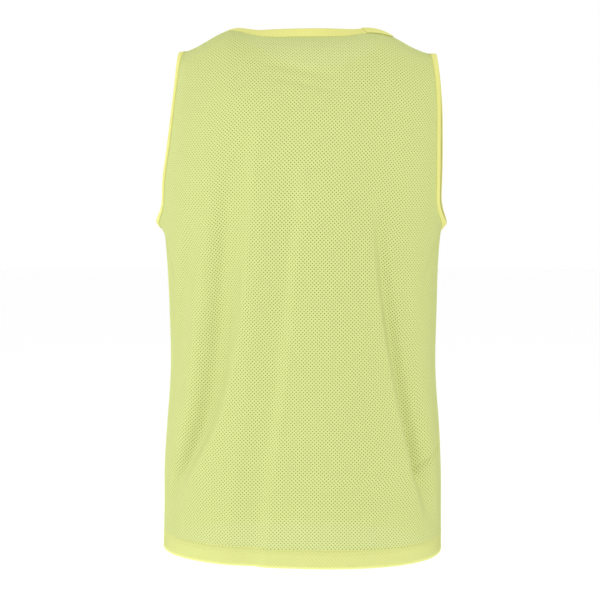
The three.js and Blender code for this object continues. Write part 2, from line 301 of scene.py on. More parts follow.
def fold_depth(folds, arc, height):
    """How deep all the folds are at arcs of the bare sections, each row at one height"""
    depth = np.zeros_like(arc)
    for fold in folds:
        offset = arc - read(fold, "across", height)
        width = np.where(offset < 0, read(fold, "left", height), read(fold, "right", height))
        share = np.minimum(np.abs(offset) / width, 1)
        inside = (height >= fold["height"][0]) & (height <= fold["height"][-1])
        depth += inside * read(fold, "depth", height) * 0.5 * (1 + np.cos(np.pi * share))
    return depth


# %% [markdown]
# ## The map from flat cloth to the form
#
# A maker thinks of a panel as flat cloth: so far across from its middle line, and so far up from the
# hem. `Panel` works the form out on a fine grid and keeps the true length of cloth up each column, so
# that the holes stay evenly spaced wherever they land on the body, as they do on real cloth.

# %% The panels
GRID = 1.0
# How far the map of levels runs on past a panel's sides, since creases make a level longer
BESIDE = 16
# How far apart the points are that give the way out
NEAR = 1.5
SECTION_STEPS = 960
PROFILE_STEPS = 600
WALK_WAVES = [(0.35, 61, 0.0, 143, 0.4), (0.3, 37, 1.9, 89, 2.2), (0.22, 23, 0.7, 171, 1.3)]


class Panel:
    """A panel of the bib: its cut, and where each spot of the flat cloth lies on the form"""

    def __init__(self, side, depth, roundness, neck_dip, folds):
        self.side, self.depth, self.roundness, self.neck_dip = side, depth, roundness, neck_dip
        self.folds = folds
        self.measure_profile()
        ends = self.section(np.array([UNDERARM_HEIGHT]))[1][0]
        self.half_cut = (ends[-1] - ends[0]) / 2
        self.across = np.arange(-self.half_cut, self.half_cut + GRID / 2, GRID)
        self.lay_cloth()

    def measure_profile(self):
        turn = np.linspace(0, math.pi / 2, PROFILE_STEPS + 1)
        up, out = quarter(turn, self.roundness)
        rise, reach = (SEAM_HEIGHT - CHEST_HEIGHT) * up, self.depth * out
        steps = np.hypot(np.diff(rise), np.diff(reach))
        self.turns, self.profile = turn, CHEST_HEIGHT + np.concatenate([[0], np.cumsum(steps)])
        self.length = self.profile[-1]

    def section(self, t):
        """Level sections at some heights along the cloth: points, arcs from the middle, heights"""
        t = np.asarray(t, float)[:, None]
        turn = np.interp(t, self.profile, self.turns) * (t > CHEST_HEIGHT)
        rise, out = quarter(turn, self.roundness)
        height = np.where(t > CHEST_HEIGHT, CHEST_HEIGHT + (SEAM_HEIGHT - CHEST_HEIGHT) * rise, t)
        middle, half = read(LEVELS, "middle", height), read(LEVELS, "half", height)
        depth = self.depth * np.where(t > CHEST_HEIGHT, out, 1) * read(LEVELS, "deep", height)
        angle = np.linspace(-0.5, 0.5, SECTION_STEPS + 1)[None] * math.pi
        along, deep = quarter(np.abs(angle), SQUARENESS)
        x, y = -self.side * np.sign(angle) * half * along, self.side * depth * deep
        bare = arcs_of(x, y)
        dx, dy = np.gradient(x, axis=1), np.gradient(y, axis=1)
        size = np.hypot(dx, dy)
        outward = self.flare(np.sign(x), bare[:, -1:] - np.abs(bare), height)
        outward = outward - fold_depth(self.folds, bare, height) + self.waves(bare, height)
        level = outward * np.cos(turn)
        points = np.stack([
            middle + x + dy / size * level,
            y - dx / size * level,
            height - shoulder_fall(middle + x) * rise * (t > CHEST_HEIGHT) + outward * np.sin(turn),
        ], axis=-1)
        return points, arcs_of(points[..., 0], points[..., 1]), height

    def flare(self, sign, distance, height):
        out = np.zeros_like(distance)
        for which, at, reach_out, below, above, along in FLARES:
            up = (height - at) / np.where(height < at, below, above)
            out += (sign == which) * reach_out * np.exp(-up * up - (distance / along) ** 2)
        return out

    def waves(self, arc, height):
        """Slow, shallow unevenness of limp cloth, still at the seams and the hem"""
        calm = smoothstep(self.edge_distance(arc), 8, 60) * smoothstep(height, 20, 90)
        total = np.zeros_like(arc)
        for size, wide, shift, tall, lag in WALK_WAVES:
            total += size * np.sin(arc / wide * 2 + shift) * np.sin(height / tall * 4 + lag)
        return total * calm

    def edge_distance(self, arc):
        return np.abs(arc[:, -1:]) - np.abs(arc)

    def lay_cloth(self):
        """The map: points, and the section's arc and height, for each step across and up the cloth"""
        up = np.arange(0, self.length + GRID, GRID)
        up[-1] = self.length
        points, arcs, _ = self.section(up)
        self.up, below = up, np.searchsorted(up, UNDERARM_HEIGHT)
        sides = np.abs(arcs[np.minimum(np.arange(len(up)), below)][:, [0, -1]]) / self.half_cut
        factor = np.where(self.across < 0, sides[:, :1], sides[:, 1:])
        spread = self.across[None] * factor
        rows = [[np.interp(s, arcs[k], points[k, :, c]) for c in range(3)] for k, s in enumerate(spread)]
        laid = np.array(rows).transpose(0, 2, 1)
        steps = np.linalg.norm(np.diff(laid, axis=0), axis=2)
        walked = np.concatenate([np.zeros((1, steps.shape[1])), np.cumsum(steps, axis=0)])
        self.tops = walked[-1]
        self.walk = np.arange(0, self.tops.max() + GRID, GRID)
        column = range(len(self.across))
        self.height_at = np.stack([np.interp(self.walk, walked[:, j], up) for j in column], axis=1)
        self.spread_at = self.even(walked, spread[..., None])[..., 0]
        self.laid = self.even(walked, laid)
        self.fine = np.arange(-self.half_cut - BESIDE, self.half_cut + BESIDE, GRID)
        self.by_level = np.array([
            [np.interp(self.fine, arcs[k], points[k, :, c]) for c in range(3)] for k in range(len(up))
        ]).transpose(0, 2, 1)

    def even(self, walked, values):
        """Values at even steps of cloth up each column"""
        even = np.empty((len(self.walk), *values.shape[1:]))
        for j, c in np.ndindex(values.shape[1:]):
            even[:, j, c] = np.interp(self.walk, walked[:, j], values[:, j, c])
        return even

    def on_form(self, across, walked):
        """Points of the form, in millimetres, for spots of the flat cloth"""
        return lookup(self.laid, self.walk, self.across, walked, across)

    def spot(self, s, t):
        """A point and the way out, for an arc s of a section and a height t along the cloth"""

        def at(arc, height):
            return lookup(self.by_level, self.up, self.fine, height, arc)

        t = np.clip(t, 0, self.length)
        across = at(s + NEAR, t) - at(s - NEAR, t)
        up = at(s, np.minimum(t + NEAR, self.length)) - at(s, np.maximum(t - NEAR, 0))
        out = np.cross(across, up)
        return at(s, t), out / np.linalg.norm(out, axis=-1, keepdims=True)


def arcs_of(x, y):
    """Arc along rows of points seen from above, counted from each row's middle"""
    steps = np.hypot(np.diff(x, axis=1), np.diff(y, axis=1))
    arcs = np.concatenate([np.zeros((len(x), 1)), np.cumsum(steps, axis=1)], axis=1)
    return arcs - arcs[:, SECTION_STEPS // 2, None]


def shoulder_fall(x):
    return sum(fall * smoothstep(sign * x, start, end) for sign, start, end, fall in SHOULDERS)


def lookup(grid, rows, columns, row_value, column_value):
    """A grid's value between its points"""
    row = np.interp(row_value, rows, np.arange(len(rows)))
    column = np.interp(column_value, columns, np.arange(len(columns)))
    i, j = np.minimum(row.astype(int), len(rows) - 2), np.minimum(column.astype(int), len(columns) - 2)
    u, v = row - i, column - j
    if grid.ndim == 3:
        u, v = u[..., None], v[..., None]
    near = grid[i, j] * (1 - v) + grid[i, j + 1] * v
    far = grid[i + 1, j] * (1 - v) + grid[i + 1, j + 1] * v
    return near * (1 - u) + far * u


back = Panel(-1, depth=124, roundness=2.6, neck_dip=50, folds=BACK_FOLDS + BACK_CREASES)
front = Panel(1, depth=128, roundness=2, neck_dip=96, folds=FRONT_FOLDS + FRONT_CREASES)
for panel, name in ((back, "back"), (front, "front")):
    print(name, "cut", round(2 * panel.half_cut), "x", round(panel.length), "mm")

# %% [markdown]
# ## Helpers for edit mode
#
# Operators act on whatever is selected, so each step starts with nothing selected, picks its faces or
# edges by their place, and then runs the operator. These helpers keep that short.

# %% Select and edit


def deselect():
    """Object mode with nothing selected"""
    if bpy.context.object and bpy.context.object.mode != "OBJECT":
        bpy.ops.object.mode_set(mode="OBJECT")
    bpy.ops.object.select_all(action="DESELECT")


def make_active(piece):
    deselect()
    piece.select_set(True)
    bpy.context.view_layer.objects.active = piece


def triples(group, field):
    values = np.empty(len(group) * 3)
    group.foreach_get(field, values)
    return values.reshape(-1, 3)


def points_of(piece):
    return triples(piece.data.vertices, "co")


def centres_of(piece):
    return triples(piece.data.polygons, "center")


def set_points(piece, co):
    piece.data.vertices.foreach_set("co", np.asarray(co, float).ravel())
    piece.data.update()


def pick(piece, kind, chosen):
    """Selects the vertices, edges or faces of a piece for which chosen is true, and enters edit mode"""
    make_active(piece)
    kinds = ("vertices", "edges", "polygons")
    bpy.context.tool_settings.mesh_select_mode = tuple(kind == each for each in kinds)
    for group in (getattr(piece.data, each) for each in kinds):
        group.foreach_set("select", np.zeros(len(group), bool))
    getattr(piece.data, kind).foreach_set("select", np.asarray(chosen, bool))
    bpy.ops.object.mode_set(mode="EDIT")


def delete_faces(piece, chosen):
    pick(piece, "polygons", chosen)
    bpy.ops.mesh.delete(type="FACE")
    bpy.ops.object.mode_set(mode="OBJECT")


def edit_all(piece, operator, **options):
    """Runs an operator of edit mode on every face"""
    pick(piece, "polygons", np.ones(len(piece.data.polygons), bool))
    operator(**options)
    bpy.ops.object.mode_set(mode="OBJECT")


def copy_of(piece, name):
    """A copy with its own mesh"""
    new = piece.copy()
    new.data = piece.data.copy()
    new.name = new.data.name = name
    bpy.context.scene.collection.objects.link(new)
    return new


# %% [markdown]
# ## Knit the mesh cloth flat
#
# The cloth is a warp knit whose holes sit in a quincunx: each row is shifted half a step from the last.
# A texture of dots would not let light through or close up when seen at a slant, so the holes are real
# openings. One flat sheet is knitted for both panels. A grid is poked, which puts a vertex in each
# cell's middle, and the grid's own lines are dissolved, which leaves diamonds. Bevelling every edge then
# turns each vertex into a small diamond face, and deleting those faces opens the holes.

# %% The flat sheet
HOLE_ACROSS = 4.8
HOLE_UP = 4.85
HOLE_SIDE = 1.5
# How near the rim an edge is left alone, what counts as no run at all, and how near a crossing is
RIM, NO_RUN, CROSSING = 0.1, 0.01, 0.1


def knit_flat(width, length):
    """Flat holed cloth in millimetres across and up, its middle line at x = 0 and its foot at y = 0"""
    columns, rows = round(width / HOLE_ACROSS), round(length / HOLE_UP)
    deselect()
    bpy.ops.mesh.primitive_grid_add(x_subdivisions=columns, y_subdivisions=rows, size=1)
    cloth = bpy.context.object
    bpy.ops.object.mode_set(mode="EDIT")
    bpy.ops.transform.resize(value=(width, rows * HOLE_UP, 1))
    bpy.ops.transform.translate(value=(0, rows * HOLE_UP / 2, 0))
    bpy.ops.mesh.poke()
    bpy.ops.object.mode_set(mode="OBJECT")
    co = points_of(cloth)
    ends = np.empty(len(cloth.data.edges) * 2, int)
    cloth.data.edges.foreach_get("vertices", ends)
    first, last = co[ends[0::2]], co[ends[1::2]]
    middle, run = (first + last) / 2, np.abs(first - last)
    within = (np.abs(middle[:, 0]) < width / 2 - RIM) & (middle[:, 1] > RIM)
    within &= middle[:, 1] < rows * HOLE_UP - RIM
    pick(cloth, "edges", within & ((run[:, 0] < NO_RUN) | (run[:, 1] < NO_RUN)))
    bpy.ops.mesh.dissolve_edges(use_verts=False)
    bpy.ops.mesh.select_all(action="SELECT")
    bpy.ops.mesh.bevel(offset=HOLE_SIDE / 2, offset_type="OFFSET", segments=1, affect="EDGES")
    bpy.ops.object.mode_set(mode="OBJECT")
    return cloth, open_holes(cloth, width, columns)


def open_holes(cloth, width, columns):
    """Takes out the small face that the bevel left at each crossing, and returns those faces alone"""
    step = width / columns / 2
    centre = centres_of(cloth)
    across, up = centre[:, 0] / step + columns, centre[:, 1] / (HOLE_UP / 2)
    column, row = np.round(across), np.round(up)
    at_crossing = (np.abs(across - column) < CROSSING) & (np.abs(up - row) < CROSSING)
    at_crossing &= (column + row) % 2 == 0
    at_crossing &= np.abs(centre[:, 0]) < width / 2 - step / 2
    plugs = copy_of(cloth, "flat_plugs")
    delete_faces(plugs, ~at_crossing)
    delete_faces(cloth, at_crossing)
    print("holes:", len(plugs.data.polygons), " faces left:", len(cloth.data.polygons))
    return plugs


flat_cloth, flat_plugs = knit_flat(2 * back.half_cut, max(back.walk[-1], front.walk[-1]) + HOLE_UP)

# %% [markdown]
# ## Cut and drape a panel
#
# The sheet is cut to the pattern, a little inside the tapes that will cover its raw edges, and each
# vertex is moved from its flat place to the form. Its flat place is kept as the UV map, so that the
# knit's pattern stays with the cloth. Light knit is about half a millimetre thick: a copy of the sheet
# set back by that much is the knit's reverse, and it closes the holes when they are seen at a slant.

# %% Lines of the cut
SEAM_GROOVE, GROOVE_WIDTH = 0.9, 2.5
# A vertex this near to a seam is put right on it, so that the two panels meet
SEAM_REACH = 0.8
KNIT_THICKNESS = 0.5
# Rows of holes stand a little proud of the cloth between them
KNIT_RELIEF, ROW_SHARE = 0.14, 0.6
# How far from a side seam and from the hem the rows drift freely
CALM_SIDE, CALM_HEM = 25, 30
TAPE_COVERS, NECK_TAPE_COVERS = 2.5, 6.5
CUT_STEPS, ARMHOLE_STEPS, NECK_STEPS = 240, 90, 110
UV_START = 0.3
HEM_OVERLAP = 1.5


def edge_arc(panel, sign, t):
    """The arc at which a level meets the armhole, or the side seam below it"""
    t = np.asarray(t, float)
    _, arcs, height = panel.section(t)
    share = read(ARMHOLE, "share", height[:, 0]) ** (SQUARENESS / 2)
    angle = np.where(t > UNDERARM_HEIGHT, np.arcsin(np.clip(share, -1, 1)), math.pi / 2)
    place = (0.5 + sign * angle / math.pi) * SECTION_STEPS
    return np.array([np.interp(p, np.arange(SECTION_STEPS + 1), row) for p, row in zip(place, arcs)])


def armhole_line(panel, sign, inset, steps=CUT_STEPS):
    """The armhole edge as arcs and heights, from the underarm to the shoulder, moved into the cloth"""
    share = (1 - np.cos(np.linspace(0, math.pi, steps + 1))) / 2
    t = UNDERARM_HEIGHT + (panel.length - UNDERARM_HEIGHT) * share
    s = edge_arc(panel, sign, t)
    ds, dt = np.gradient(s), np.gradient(t)
    ds[0], dt[0] = -sign, 0
    ds[-1], dt[-1] = 0, 1
    size = np.hypot(ds, dt)
    return s - sign * dt * inset / size, t + sign * ds * inset / size


def neck_line(panel, inset):
    """The neck edge as arcs and heights, half an ellipse, moved into the cloth"""
    angle = np.linspace(-math.pi / 2, math.pi / 2, NECK_STEPS + 1)
    sine, cosine = np.sin(angle), np.maximum(np.cos(angle), 0)
    size = np.hypot(sine / NECK_HALF_WIDTH, cosine / panel.neck_dip)
    s = -panel.side * NECK_MIDDLE + NECK_HALF_WIDTH * sine + inset * sine / NECK_HALF_WIDTH / size
    return s, panel.length - panel.neck_dip * cosine - inset * cosine / panel.neck_dip / size


# %% Cut and drape


def beyond_cut(panel, across, walked):
    """True where a spot of the flat sheet is outside the panel's cut"""
    t = lookup(panel.height_at, panel.walk, panel.across, walked, across)
    s = lookup(panel.spread_at, panel.walk, panel.across, walked, across)
    top = np.interp(across, panel.across, panel.tops)
    outside = walked > top
    for sign in (-1, 1):
        line_s, line_t = armhole_line(panel, sign, TAPE_COVERS)
        outside |= (t > line_t[0]) & (sign * s > sign * np.interp(t, line_t, line_s))
    middle = -panel.side * NECK_MIDDLE
    reach = ((s - middle) / (NECK_HALF_WIDTH + NECK_TAPE_COVERS)) ** 2
    return outside | (reach + ((panel.length - t) / (panel.neck_dip + NECK_TAPE_COVERS)) ** 2 < 1)


def wander(across, up):
    """Slow drift of the rows of holes, in millimetres, calm at the side seams"""
    sway = 0.9 * np.sin(across / 47 + up / 83) + 0.7 * np.sin(up / 39 - across / 61 + 1.3)
    lift = 1.1 * np.sin(across / 53 - up / 97 + 0.8) + 0.6 * np.sin(across / 29 + up / 71)
    return sway, lift


def keep_uv(piece, flat):
    """The flat place of each vertex, in metres, as the UV map"""
    uv = piece.data.uv_layers.active or piece.data.uv_layers.new(name="flat_cloth")
    corner = np.empty(len(piece.data.loops), int)
    piece.data.loops.foreach_get("vertex_index", corner)
    uv.data.foreach_set("uv", (flat[corner, :2] * MM + UV_START).ravel())


def drape(cloth, panel, name):
    """A panel of cloth on the form, with the way out at each vertex"""
    piece = copy_of(cloth, name)
    centre = centres_of(piece)
    delete_faces(piece, beyond_cut(panel, centre[:, 0], centre[:, 1]))
    flat = points_of(piece)
    across, up = flat[:, 0], flat[:, 1]
    from_seam = panel.half_cut - np.abs(across)
    calm = smoothstep(from_seam, 0, CALM_SIDE) * smoothstep(up, 0, CALM_HEM)
    sway, lift = wander(across, up)
    across, up = across + sway * calm, up + lift * calm
    across = np.where(from_seam < SEAM_REACH, np.sign(across) * panel.half_cut, across)
    tops = np.interp(across, panel.across, panel.tops)
    up = np.where(up > tops - SEAM_REACH, tops, up)
    s = lookup(panel.spread_at, panel.walk, panel.across, up, across)
    t = lookup(panel.height_at, panel.walk, panel.across, up, across)
    _, out = panel.spot(s, t)
    groove = np.exp(-(from_seam / GROOVE_WIDTH) ** 2) + np.exp(-((panel.length - t) / GROOVE_WIDTH) ** 2)
    on_row = np.abs(np.cos(math.pi * flat[:, 1] / (HOLE_UP / 2))) > ROW_SHARE
    lift_off = np.where(on_row, KNIT_RELIEF, -KNIT_RELIEF) - SEAM_GROOVE * groove
    keep_uv(piece, flat)
    set_points(piece, to_scene(panel.on_form(across, up) + out * lift_off[:, None]))
    return piece, out


def set_back(piece, out, depth):
    """Moves a piece into the bib along the way out, and takes off what lies in the hem"""
    set_points(piece, points_of(piece) - out * depth * MM)
    delete_faces(piece, centres_of(piece)[:, 2] < (HEM_WIDTH - HEM_OVERLAP - REST_HEIGHT) * MM)
    return piece


def knit_reverse(piece, out, name):
    """The knit's other face, set back by its thickness"""
    reverse = copy_of(piece, name)
    edit_all(reverse, bpy.ops.mesh.flip_normals)
    return set_back(reverse, out, KNIT_THICKNESS)


def to_scene(point):
    """From millimetres above the hem to the frame's metres"""
    return (np.asarray(point) - [0, 0, REST_HEIGHT]) * MM


back_face, back_out = drape(flat_cloth, back, "back_knit_face")
front_face, front_out = drape(flat_cloth, front, "front_knit_face")
back_reverse = knit_reverse(back_face, back_out, "back_knit_reverse")
front_reverse = knit_reverse(front_face, front_out, "front_knit_reverse")
# Dark, half transparent faces that fill the holes behind the knit: painted shade in the holes
back_shade = set_back(*drape(flat_plugs, back, "back_hole_shade"), KNIT_THICKNESS)
front_shade = set_back(*drape(flat_plugs, front, "front_hole_shade"), KNIT_THICKNESS)
bpy.data.objects.remove(flat_cloth)
bpy.data.objects.remove(flat_plugs)
for piece in (back_face, front_face, back_reverse, front_reverse, back_shade, front_shade):
    make_active(piece)
    bpy.ops.object.shade_smooth()
    piece.data.calc_loop_triangles()
    print(piece.name, len(piece.data.loop_triangles), "triangles")

# %% [markdown]
# ## Strips: the hem, the tapes and the seam allowances
#
# A hem, a binding and an overlocked seam are all a narrow strip that follows a line of the cloth.
# Each is drawn as a closed profile, so far from the line along the cloth and so far out from it, and
# the profile is carried along the line. Round profiles give the soft folded edge that a tape has.

# %% Carry a profile along lines of the cloth
SHARPEST_SMOOTH = math.radians(50)


def new_piece(name, points, faces):
    """A piece from points in millimetres and faces"""
    mesh = bpy.data.meshes.new(name)
    mesh.from_pydata(to_scene(points).reshape(-1, 3).tolist(), [], faces)
    piece = bpy.data.objects.new(name, mesh)
    bpy.context.scene.collection.objects.link(piece)
    return piece


def strip(name, rings, looped):
    """A closed strip through rings of points, one ring for each place along it"""
    count, width = rings.shape[:2]
    along = lengths(np.concatenate([rings, rings[:1]])[:, 0])
    around = lengths(np.concatenate([rings[0], rings[0, :1]]))
    faces, flat = [], []
    for i in range(count if looped else count - 1):
        for j in range(width):
            corners = [(i, j), (i + 1, j), (i + 1, j + 1), (i, j + 1)]
            faces.append([a % count * width + b % width for a, b in corners])
            flat += [(along[a], around[b]) for a, b in corners]
    if not looped:
        for i in (0, count - 1):
            faces.append([i * width + j for j in range(width)])
            flat += [(along[i], around[j]) for j in range(width)]
    piece = new_piece(name, rings, faces)
    uv = piece.data.uv_layers.new(name="flat_cloth")
    uv.data.foreach_set("uv", (np.array(flat) * MM + UV_START).ravel())
    edit_all(piece, bpy.ops.mesh.normals_make_consistent, inside=False)
    bpy.ops.object.shade_smooth_by_angle(angle=SHARPEST_SMOOTH)
    print(name, len(faces), "faces,", round(along[-1 if looped else -2]), "mm long")
    return piece


def lengths(line):
    """Length along a line of points at each of them"""
    return np.concatenate([[0], np.cumsum(np.linalg.norm(np.diff(line, axis=0), axis=1))])


# %% Lines of the cloth that strips follow
HEM_STATIONS = 260
NECK_TOP, NECK_TOP_DIP, NECK_TAPE_HIGH = 697.5, 3.2, 9.6
# The neck tape's widths to try, where its plain ends start, and how many widths are averaged
NECK_WIDTHS, NECK_ENDS, AVERAGED = np.arange(6, 18, 0.25), 0.75, 9


def level_line(panel, share, t):
    """Spots of one level from the left side seam to the right one"""
    s = edge_arc(panel, -1, t) * (1 - share) + edge_arc(panel, 1, t) * share
    return panel.spot(s, np.broadcast_to(t, s.shape))


def armhole_ring(side, inset):
    """Spots round an armhole: up the back and down the front"""
    lines = []
    for panel, sign in ((back, side), (front, -side)):
        s, t = armhole_line(panel, sign, inset, ARMHOLE_STEPS)
        s[0] = edge_arc(panel, sign, t[:1])[0]
        lines.append(panel.spot(s, t))
    (a, a_out), (b, b_out) = lines
    return np.concatenate([a, b[-2:0:-1]]), np.concatenate([a_out, b_out[-2:0:-1]])


def neck_ring(inset):
    """Spots round the neck: along the back and home along the front"""
    (a, a_out), (b, b_out) = (
        panel.spot(*neck_line(panel, inset * wider))
        for panel, wider in ((back, NECK_WIDER), (front, 1))
    )
    return np.concatenate([a, b[1:-1]]), np.concatenate([a_out, b_out[1:-1]])


def neck_top():
    """Height of the tape's top along the back neck: level to the eye, lower past the right shoulder"""
    middle = np.cos(np.linspace(-math.pi / 2, math.pi / 2, NECK_STEPS + 1))
    edge = back.spot(*neck_line(back, 0))[0]
    return NECK_TOP - NECK_TOP_DIP * middle - shoulder_fall(edge[:, 0])


def neck_widening():
    """How much wider the tape is cut along the back neck, so that it looks equally high all along"""
    heights = np.stack([back.spot(*neck_line(back, width))[0][:, 2] for width in NECK_WIDTHS])
    miss = np.abs(heights - (neck_top() - NECK_TAPE_HIGH))
    ends = smoothstep(np.abs(np.linspace(-1, 1, NECK_STEPS + 1)), NECK_ENDS, 1)
    best = NECK_WIDTHS[miss.argmin(axis=0)] * (1 - ends) + NECK_TAPE * ends
    padded = np.pad(best, AVERAGED // 2, mode="edge")
    return np.convolve(padded, np.ones(AVERAGED) / AVERAGED, mode="valid") / NECK_TAPE


NECK_WIDER = neck_widening()


def rings_on(line_at, profile):
    """Rings of points for a profile of distances along the cloth and out from it"""
    made = {}
    rings = []
    for along, out in profile:
        if along not in made:
            made[along] = line_at(along)
        point, way = made[along]
        rings.append(point + way * out)
    return np.stack(rings, axis=1)


# %% [markdown]
# The hem is the same cloth turned up inside and stitched with a twin needle. From outside the holes
# still show, but only faintly, because the second layer lies right behind them. So the panel's sheet
# runs on to the foot, and this strip is the layer behind it, with the fold's round edge below.

# %% The hem's inner layer and fold
HEM_PROFILE = [
    (25.0, -0.95), (22.0, -0.8), (18.0, -0.35), (12.0, -0.35), (6.0, -0.35), (2.2, -0.3), (1.3, 0.15),
    (0.5, 0.4), (-0.3, 0.35), (-0.9, -0.1), (-1.1, -0.7), (-0.8, -1.3), (-0.1, -1.7), (1.5, -1.85),
    (6.0, -1.7), (12.0, -1.7), (18.0, -1.7), (24.6, -1.6), (25.2, -1.1),
]


def hem_strip(panel, name):
    share = np.linspace(0, 1, HEM_STATIONS + 1)

    def line_at(along):
        point, out = level_line(panel, share, np.full(share.shape, max(along, 0.0)))
        return point + [0, 0, min(along, 0.0)], out

    return strip(name, rings_on(line_at, HEM_PROFILE), looped=False)


back_hem = hem_strip(back, "back_hem_fold")
front_hem = hem_strip(front, "front_hem_fold")

# %% [markdown]
# The tapes are plain knit strips folded over the raw edges and stitched through. A tape is thickest
# at its fold and is drawn in along its line of stitches, which is what makes it read as sewn.

# %% The tapes round the neck and the armholes
STITCH_INSET = 1.35


def tape_profile(width):
    """A folded tape: its fold at 0, and a dip where the stitches draw it in"""
    outer = [
        (0.15, 0.8), (0.7, 1.2), (1.8, 1.35), (width * 0.55, 1.25), (width - 2.0, 1.1),
        (width - STITCH_INSET, 0.8), (width - 0.7, 1.05), (width - 0.15, 0.9), (width, 0.55),
    ]
    return [(0.0, 0.0), *outer, *[(along, -out) for along, out in reversed(outer)]]


def armhole_tape(name, side):
    rings = rings_on(lambda along: armhole_ring(side, along), tape_profile(ARMHOLE_TAPE))
    return strip(name, rings, looped=True)


left_tape = armhole_tape("left_armhole_tape", -1)
right_tape = armhole_tape("right_armhole_tape", 1)

# %% [markdown]
# A bound neck stands up from the cloth behind it, like a very low collar, most at the middle of the
# back. So the neck tape's lines are turned about its sewn edge, towards upright, by a share that
# fades out at the shoulders. Its ends lap by the right shoulder, where a second layer lies on the first.

# %% The neck tape and its lapped end
LEAN_FRONT = 0.5
LAP_FROM, LAP_TO = 78, 106
LAP_PROFILE = [
    (-0.15, 1.3), (0.4, 1.9), (1.6, 2.1), (5.5, 2.0), (7.6, 1.75), (8.6, 1.1), (8.3, 0.5), (4.5, 0.9),
    (0.6, 0.9),
]


def neck_lean():
    """How far the tape turns towards upright at each station: level on top behind, and less in front"""
    middle = np.cos(np.linspace(-math.pi / 2, math.pi / 2, NECK_STEPS + 1))
    edge = neck_ring(0.0)[0][: NECK_STEPS + 1]
    seam = neck_ring(NECK_TAPE)[0][: NECK_STEPS + 1]
    width = np.linalg.norm(edge - seam, axis=1)
    wanted, given = (neck_top() - seam[:, 2]) / width, (edge - seam)[:, 2] / width
    behind = np.clip((wanted - given) / (1 - given), 0, 1)
    return np.concatenate([behind, LEAN_FRONT * middle[1:-1]])[:, None]


def unit(vector):
    return vector / np.linalg.norm(vector, axis=-1, keepdims=True)


def upright(line_at, lean):
    """The neck's lines, turned about the sewn edge towards upright"""
    seam, _ = line_at(NECK_TAPE)
    edge, out = line_at(0.0)
    tangent = unit(np.roll(seam, -1, axis=0) - np.roll(seam, 1, axis=0))
    up = unit(np.array([0, 0, 1.0]) - tangent * tangent[:, 2:])
    width = np.linalg.norm(edge - seam, axis=1, keepdims=True)
    rise = unit(unit(edge - seam) * (1 - lean) + up * lean) * width / NECK_TAPE
    way = np.cross(tangent, rise)
    way = unit(way * np.sign((way * out).sum(axis=1, keepdims=True)))
    return lambda along: (seam + rise * (NECK_TAPE - along), way)


neck_upright = upright(neck_ring, neck_lean())
neck_tape = strip("neck_tape", rings_on(neck_upright, tape_profile(NECK_TAPE)), looped=True)
lap_rings = rings_on(neck_upright, LAP_PROFILE)
lap_x, along_back = lap_rings[:, 0, 0], np.arange(len(lap_rings)) <= NECK_STEPS
on_lap = along_back & (lap_x > LAP_FROM) & (lap_x < LAP_TO)
neck_lap = strip("neck_tape_lap", lap_rings[on_lap], looped=False)

# %% [markdown]
# Inside, the panels are joined by overlocked seams: both raw edges are trimmed, wrapped in thread and
# pressed towards the back. They show only through the openings, as narrow ribs. Each reaches a little
# past the seam onto the front's cloth, so that no light comes between the two panels.

# %% The seam allowances
SEAM_STATIONS = 130
# How far from the hem's top, the armhole's foot and the tapes an allowance starts or ends
BELOW_HEM_TOP, BELOW_ARMHOLE, BESIDE_TAPE = 3, 1, 3
ALLOWANCE = [
    (-2.4, -0.8), (-1.2, -1.05), (0.2, -1.2), (3.0, -1.0), (5.6, -0.9), (6.8, -1.2), (7.0, -1.9),
    (6.2, -2.4), (3.0, -2.2), (0.2, -1.9), (-1.6, -1.4),
]


def across_seam(on_back, on_front):
    """Lines beside a seam: on the back's cloth, or past the seam on the front's"""
    return lambda along: on_back(along) if along >= 0 else on_front(-along)


def side_seam_line(sign):
    t = np.linspace(HEM_WIDTH - BELOW_HEM_TOP, UNDERARM_HEIGHT - BELOW_ARMHOLE, SEAM_STATIONS)
    edge, far_edge = edge_arc(back, sign, t), edge_arc(front, -sign, t)
    return across_seam(
        lambda along: back.spot(edge - sign * along, t),
        lambda along: front.spot(far_edge + sign * along, t))


def shoulder_seam_line(sign):
    neck_end = sign * NECK_HALF_WIDTH + NECK_MIDDLE
    arm_end = edge_arc(back, sign, [back.length])[0]
    s = np.linspace(neck_end + sign * BESIDE_TAPE, arm_end - sign * BESIDE_TAPE, SEAM_STATIONS // 2)
    return across_seam(
        lambda along: back.spot(s, np.full(s.shape, back.length - along)),
        lambda along: front.spot(-s, np.full(s.shape, front.length - along)))


seams = [
    strip(f"{side}_{kind}_seam", rings_on(line(sign), ALLOWANCE), looped=False)
    for side, sign in (("left", -1), ("right", 1))
    for kind, line in (("side", side_seam_line), ("shoulder", shoulder_seam_line))
]

# %% [markdown]
# Stitches are far too small to model one by one, and a bump would vanish in the exported meshes. One
# stitch is modelled, a small flattened bead of thread, and copied along each line of sewing: two lines
# at the hem's top, as a twin needle leaves them, and one at the sewn edge of every tape.

# %% One stitch, copied along the lines of sewing
STITCH_PITCH, STITCH_LONG, STITCH_WIDE, STITCH_HIGH = 3.1, 2.3, 0.55, 0.45
